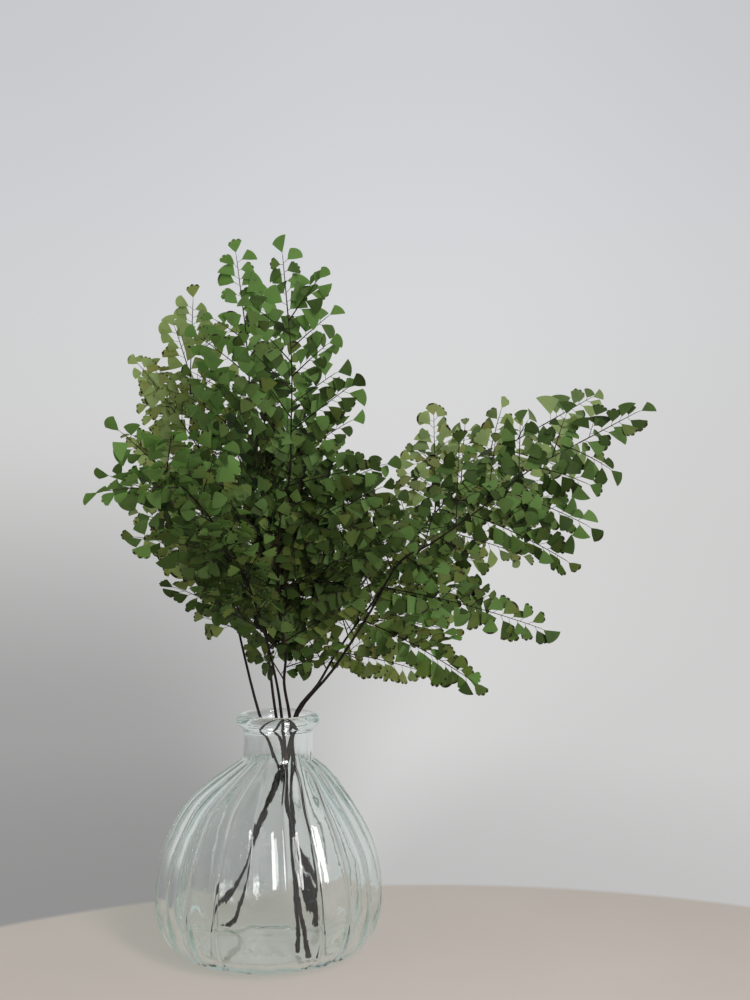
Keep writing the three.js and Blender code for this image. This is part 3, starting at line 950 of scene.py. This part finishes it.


# %% [markdown]
# ## Leaflet finish
# A leaflet is matt with a faint shine, and light from behind shines through it in a warmer green. So its
# shader is a mix of a Principled surface and a constant Translucent one. Each leaflet has a tone, its own
# plus a shift by its height in the frond that holds painted shade and light, and an age, which its seat
# passes on as attributes: old ones turn olive and carry the brown spore patches.

# %% Leaf material
LEAF_PAINTS = {
    "frond_green": {
        "deep": (0.024, 0.045, 0.007), "fresh": (0.225, 0.385, 0.115), "olive": (0.140, 0.155, 0.034),
        "through": (0.25, 0.43, 0.06),
    },
    "frond_pale": {
        "deep": (0.075, 0.120, 0.034), "fresh": (0.400, 0.500, 0.230), "olive": (0.290, 0.260, 0.080),
        "through": (0.50, 0.58, 0.19),
    },
}
SPORE_BROWN = (0.020, 0.013, 0.008)
VEINS = 15  # at the seat, and twice as many at the rim
VEIN_SHARPNESS = 6
FORKING = (0.4, 0.6)  # where on a leaflet's length its veins fork
PATCH_EDGE = (0.14, 0.28)  # from the middle of a lobe to the soft edge of its spore patch
PATCH_FROM = (0.85, 0.9)  # where on the length it starts
PATCH_AGE = (0.35, 0.5)  # the ages between which patches form
SHINE_THROUGH = (0.15, 0.6)  # how much light the darkest and the palest leaflets let through


def leaf_material(name, deep, fresh, olive, through):
    material, board = new_material(name + " leaflet")
    place = object_place(board)
    across, along, _ = board.split(board.add("ShaderNodeUVMap", {"uv_map": "leaf"}))

    def seat_value(label):
        return board.add("ShaderNodeAttribute", {"attribute_name": label}).output("Fac")

    def stripes(count):
        return ((across * count * math.tau).to("COSINE") * 0.5 + 0.5) ** VEIN_SHARPNESS

    tone, age, lobes = seat_value("tone"), seat_value("age"), seat_value("lobes")
    mottle = board.noise(place, scale=260, detail=3)
    # The tone holds the leaflet's own tone plus painted shade low in the bunch and painted light at the top.
    colour = board.blend(tone * 0.8 + mottle * 0.2, deep, fresh)
    faded = board.ease(age + 0.5 * mottle - 0.25, 0.35, 1.0) * board.ease(tone, -0.6, 0.6)
    colour = board.blend(faded * 0.85, colour, olive)
    fork = board.ease(along, *FORKING)
    vein = stripes(VEINS) * (1 - fork) + stripes(2 * VEINS) * fork
    colour = board.blend(vein * 0.3, colour, deep)
    in_lobe = (across * lobes).to("FRACT")
    patch = 1 - board.ease((in_lobe - 0.5).to("ABSOLUTE"), *PATCH_EDGE)
    spores = patch * board.ease(along, *PATCH_FROM) * board.ease(age, *PATCH_AGE)
    rim = board.ease(along, 0.93, 1.0) * board.ease(age, 0.55, 0.9) * 0.3
    brown = spores.to("MAXIMUM", rim)
    colour = board.blend(brown, colour, SPORE_BROWN)
    bump = board.add("ShaderNodeBump", {}, {
        "Height": vein * 0.5 + spores, "Strength": 0.4, "Distance": 0.1 * MM,
    })
    surface = board.add("ShaderNodeBsdfPrincipled", {}, {
        "Base Color": colour, "Roughness": 0.48 + 0.15 * mottle, "Specular IOR Level": 0.12, "Normal": bump,
    })
    glow = board.add("ShaderNodeBsdfTranslucent", {}, {"Color": through})
    passing = mix(SHINE_THROUGH, tone.to("MINIMUM", 1)) * (1 - brown)
    leaf = board.add("ShaderNodeMixShader", {}, {0: passing, 1: surface, 2: glow})
    board.add("ShaderNodeOutputMaterial", {}, {"Surface": leaf})
    return material


# %% All the fronds
OLD_SHAPES = (2, 3, 4, 5, 6)
YOUNG_SHAPES = (0, 1, 2)
GROWN = 0.35  # the age from which a leaflet has an old shape
AGES = (0.68, 0.23)  # the mean at the bottom and at the top of a frond
AGE_SPREAD = 0.22
TONE_SPREAD = 1.4  # around 0.5 plus the frond's shift by height, with its painted shade and light
WOBBLE = (0.38, 0.32, 0.26)  # radians about a leaflet's length, width and face


def seat_mesh(name, seats, painted_light_and_age, rng):
    """A mesh of loose points, one for each leaflet, with its way, face, size, shape, tone and age."""
    mesh = bpy.data.meshes.new(name)
    mesh.from_pydata([seat.place for seat in seats], [], [])
    ages = [min(1, max(0, rng.gauss(mix(AGES, seat.height), AGE_SPREAD))) for seat in seats]
    shapes = [rng.choice(OLD_SHAPES if age > GROWN else YOUNG_SHAPES) for age in ages]
    # Each tone is random plus a shift by height: partly painted shade and light, partly the paler colour of
    # older leaflets.
    tones = [TONE_SPREAD * (rng.random() - 0.5) + 0.5 + mix(painted_light_and_age, seat.height) for seat in seats]
    add_attributes(mesh, {
        "way": ("FLOAT_VECTOR", "vector", [seat.way for seat in seats]),
        "face": ("FLOAT_VECTOR", "vector", [seat.face for seat in seats]),
        "size": ("FLOAT", "value", [seat.size for seat in seats]),
        "tone": ("FLOAT", "value", tones),
        "age": ("FLOAT", "value", ages),
        "shape": ("INT", "value", shapes),
    })
    return mesh


def leaf_collection():
    shapes = bpy.data.collections.new("leaf shapes")
    for i, shape in enumerate(LEAF_SHAPES):
        name = f"leaf_shape_{i}"
        shapes.objects.link(bpy.data.objects.new(name, leaf_mesh(name, **shape)))
    return shapes


leaf_shapes = leaf_collection()
leaf_tree = make_leaf_tree()
stalk_tree = make_stalk_tree()
stalk_black = stalk_material()
leaf_paints = {slot: leaf_material(slot, **paint) for slot, paint in LEAF_PAINTS.items()}
slot_of = {row["node"]: row["material_slot"] for row in frame["record"]["subparts"]}

for name, frond in FRONDS.items():
    growth = grow_frond(frond)
    slot = slot_of[name]
    lines = edge_mesh(name + "_lines", growth.lines, {
        "radius_here": ("FLOAT", "value", growth.radii), "order": ("INT", "value", growth.orders),
    })
    stalks = grow(name + "_stalks", lines, stalk_tree, {
        "Stalk sides": 10, "Rib sides": 6, "Hair sides": 4, "Material": stalk_black,
    })
    seats = seat_mesh(name + "_seats", growth.seats, frond["painted_light_and_age"], random.Random(frond["seed"] + 1))
    leaflets = grow(name + "_leaflets", seats, leaf_tree, {
        "Shapes": leaf_shapes, "Wobble": WOBBLE, "Seed": frond["seed"], "Material": leaf_paints[slot],
    })
    print(name, "has", len(growth.seats), "leaflets")
    for piece, finish in ((stalks, "stalk_black"), (leaflets, slot)):
        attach(piece, "root")
        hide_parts(name)
